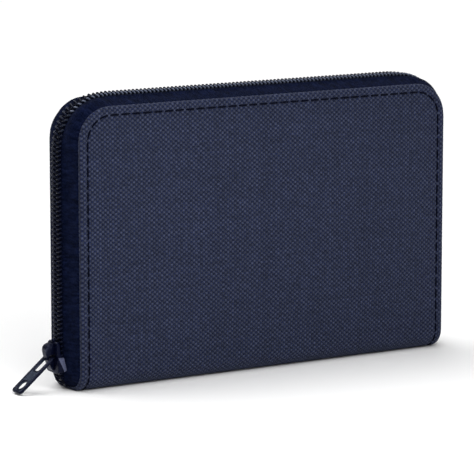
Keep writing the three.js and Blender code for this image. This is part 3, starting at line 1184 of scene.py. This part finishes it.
def pocket(name, node, side, corner, material, bow, hem):
    """A flat pocket sheet, its mouth bowed a little and turned over into a hem."""
    shallow, far = deep(node)
    low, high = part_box(node)
    bottom, top = height_to_sheet(low.z), height_to_sheet(high.z)
    edges = [e * MM for e in (0, 0.4, 1, 2.5, 4.6, 5, 6) if e * MM < 0.45 * (top - bottom)]
    sheet = Sheet(side, high.x, bottom, top, corner, edges, step=5 * MM, round_low=1 * MM)

    def bulge(a, b):
        return bow * bow_share(a, high.x) * smooth((b - bottom) / (top - bottom))

    def inner(a, b, edge):
        hemmed = hem if top - b < 4.8 * MM else 0
        soft = 0.12 * MM * noise.noise(Vector((a * 70, b * 70, far * 900)))
        return -far - bulge(a, b) - hemmed - soft * smooth(edge / (5 * MM))

    return sheet.build(name, material, lambda a, b, edge: -shallow - bulge(a, b), inner)


def mouth_stitches(name, node, side, drop, bow):
    """A straight row of stitches under a pocket's mouth."""
    far = deep(node)[1]
    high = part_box(node)[1]
    level = height_to_sheet(high.z) - drop
    reach = high.x - 2 * MM

    def skin(x, t, thick, w):
        lift = -far - bow * bow_share(x, high.x) - 0.42 * MM - thick * (0.5 - t**4)
        return x, level + thick * math.cos(w), lift - thick * math.sin(w)

    mesh = (7, 6)
    radius = THREAD_RADIUS * 0.8
    return stitches(name, side, -reach, 2 * reach, 3.4 * MM, 2.6 * MM, mesh, radius, skin)


# ---- putting it together


def stands_for(piece, slot, *nodes):
    if nodes:
        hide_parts(*nodes)
    return piece


def dress(piece, slot, body, *nodes):
    """A piece that rides on one body, with the CAD nodes it replaces."""
    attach(stands_for(piece, slot, *nodes), body)
    return piece


def bends(piece):
    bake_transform(piece)


def dress_cover(side_name):
    side = SIDES[side_name]
    body = f"{side_name}_cover"
    board_name = f"{side_name}_board"
    shell_nodes = [f"{side_name}_outer_fabric"] + (["spine_fabric"] if side > 0 else [])
    shell = stands_for(outer_shell(f"{side_name}_shell", side), "outer_fabric", *shell_nodes)
    bends(shell)
    seam = stands_for(topstitching(f"{side_name}_topstitching", side), "outer_fabric")
    bends(seam)
    tape = zip_tape(f"{side_name}_tape_cloth", side)
    bends(stands_for(tape, "zip_tape", f"{side_name}_zip_tape"))
    coil = zip_coil(f"{side_name}_coil_spiral", side)
    bends(stands_for(coil, "coil", f"{side_name}_coil"))
    bends(stands_for(coil_thread(f"{side_name}_coil_thread", side), "zip_tape"))

    lining_nodes = [f"{side_name}_lining"] + (["spine_lining"] if side > 0 else [])
    lining = stands_for(cover_lining(f"{side_name}_lining_cloth", side), "lining", *lining_nodes)
    bends(lining)
    padding = cover_padding(f"{side_name}_padding", side)
    dress(padding, "foam", body, f"{side_name}_foam")
    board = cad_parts[board_name]
    board.data.materials.clear()
    board.data.materials.append(BOARD)


def dress_spine():
    dress(spine_padding(), "foam", "spine", "spine_padding")
    for hand_name, hand in (("left", -1), ("right", 1)):
        tab = end_fold(f"{hand_name}_end_fold", hand)
        dress(tab, "zip_tape", "spine", f"{hand_name}_end_tab")


def dress_pockets():
    # The piece, its CAD node, its cover, then the corners, the mouth's bow and the hem in mm.
    sheets = [
        ("passport_pocket_cloth", "passport_pocket", 1, 1.0, 0.6, 0.0),
        ("passport_pocket_edge", "passport_pocket_binding", 1, 1.0, 0.6, 0.0),
        ("slip_pocket_cloth", "slip_pocket", -1, 6.0, 0.2, 0.25),
        ("card_slot_cloth_1", "card_slot_1", -1, 1.0, 0.25, 0.25),
        ("card_slot_cloth_2", "card_slot_2", -1, 1.0, 0.3, 0.25),
        ("card_slot_cloth_3", "card_slot_3", -1, 1.0, 0.35, 0.25),
    ]
    pieces = {}
    for name, node, side, corner, bow, hem in sheets:
        binding = name == "passport_pocket_edge"
        material, slot = (OUTER_CLOTH, "outer_fabric") if binding else (LINING, "lining")
        body = "front_cover" if side > 0 else "back_cover"
        piece = pocket(name, node, side, corner * MM, material, bow * MM, hem * MM)
        pieces[name] = dress(piece, slot, body, node)
        if name != "passport_pocket_cloth":
            drop = 3.6 * MM if hem else 1.2 * MM
            row = mouth_stitches(f"{node}_stitches", node, side, drop, bow * MM)
            dress(row, "lining", body)
    edge = pieces.pop("passport_pocket_edge")
    for name, node, side in (row[:3] for row in sheets):
        if name in pieces:
            hem = [edge] if side > 0 else []


def dress_slider():
    dress(slider_top(), "slider_paint", "slider", "slider_body")
    dress(slider_knob(), "slider_paint", "slider")
    dress(slider_under(), "slider_paint", "slider")
    dress(slider_crown(), "slider_paint", "slider", "slider_crown")
    web, *rims = pull_tab()
    dress(web, "slider_paint", "pull_tab", "pull_tab")
    for rim in rims:
        dress(rim, "slider_paint", "pull_tab")


# ---- stage, light and camera


def floor():
    shader = Shader("pale_floor", roughness=0.9)
    shader.colour((0.92, 0.92, 0.92, 1))
    reach = 6.0
    mesh = bpy.data.meshes.new("floor")
    corners = [(-reach, -reach, 0), (reach, -reach, 0), (reach, reach, 0), (-reach, reach, 0)]
    mesh.from_pydata(corners, [], [(0, 1, 2, 3)])
    mesh.materials.append(shader.material)
    link("floor", mesh)


def direction(azimuth, elevation):
    """Unit vector towards a place seen from the model, in degrees: 0 is the front, 90 the right."""
    a, e = math.radians(azimuth), math.radians(elevation)
    return Vector((math.sin(a) * math.cos(e), -math.cos(a) * math.cos(e), math.sin(e)))


def turned(name, data, towards):
    """A lamp or camera with its back to a direction."""
    holder = link(name, data)
    holder.rotation_mode = "QUATERNION"
    holder.rotation_quaternion = towards.to_track_quat("Z", "Y")
    return holder


def sun(name, strength, softness, azimuth, elevation):
    """A soft far light."""
    lamp = bpy.data.lights.new(name, "SUN")
    lamp.energy = strength
    lamp.angle = math.radians(softness)
    turned(name, lamp, direction(azimuth, elevation))


def softbox(name, power, size, place, aim):
    """A square soft lamp near the model."""
    lamp = bpy.data.lights.new(name, "AREA")
    lamp.energy = power
    lamp.size = size
    turned(name, lamp, Vector(place) - Vector(aim)).location = place


def light():
    world = bpy.data.worlds.new("studio")
    world.use_nodes = True
    background = world.node_tree.nodes["Background"]
    background.inputs["Color"].default_value = (1, 1, 1, 1)
    background.inputs["Strength"].default_value = 0.18
    bpy.context.scene.world = world
    sun("back", 2.35, 60, 205, 64)
    sun("key", 0.95, 70, 5, 62)
    sun("front_fill", 0.5, 60, 5, 16)
    softbox("upper_front", 0.32, 0.14, (-0.10, -0.22, 0.20), (-0.03, 0, 0.06))
    bpy.context.scene.view_settings.view_transform = "Standard"


def camera():
    """A long lens, low and to the left of the front."""
    distance = 1.0666
    backward = direction(-32.2, 9.3)
    right = Vector((0, 0, 1)).cross(backward).normalized()
    up = backward.cross(right)
    aim = right * -5.3 * MM + up * 45.1 * MM
    data = bpy.data.cameras.new("camera")
    data.lens = 229
    data.sensor_width = 36
    data.clip_start = 0.05
    data.clip_end = 30
    holder = turned("camera", data, backward)
    holder.location = aim + backward * distance
    bpy.context.scene.camera = holder


camera()
floor()
light()
for cover_name in SIDES:
    dress_cover(cover_name)
dress_spine()
dress_pockets()
dress_slider()
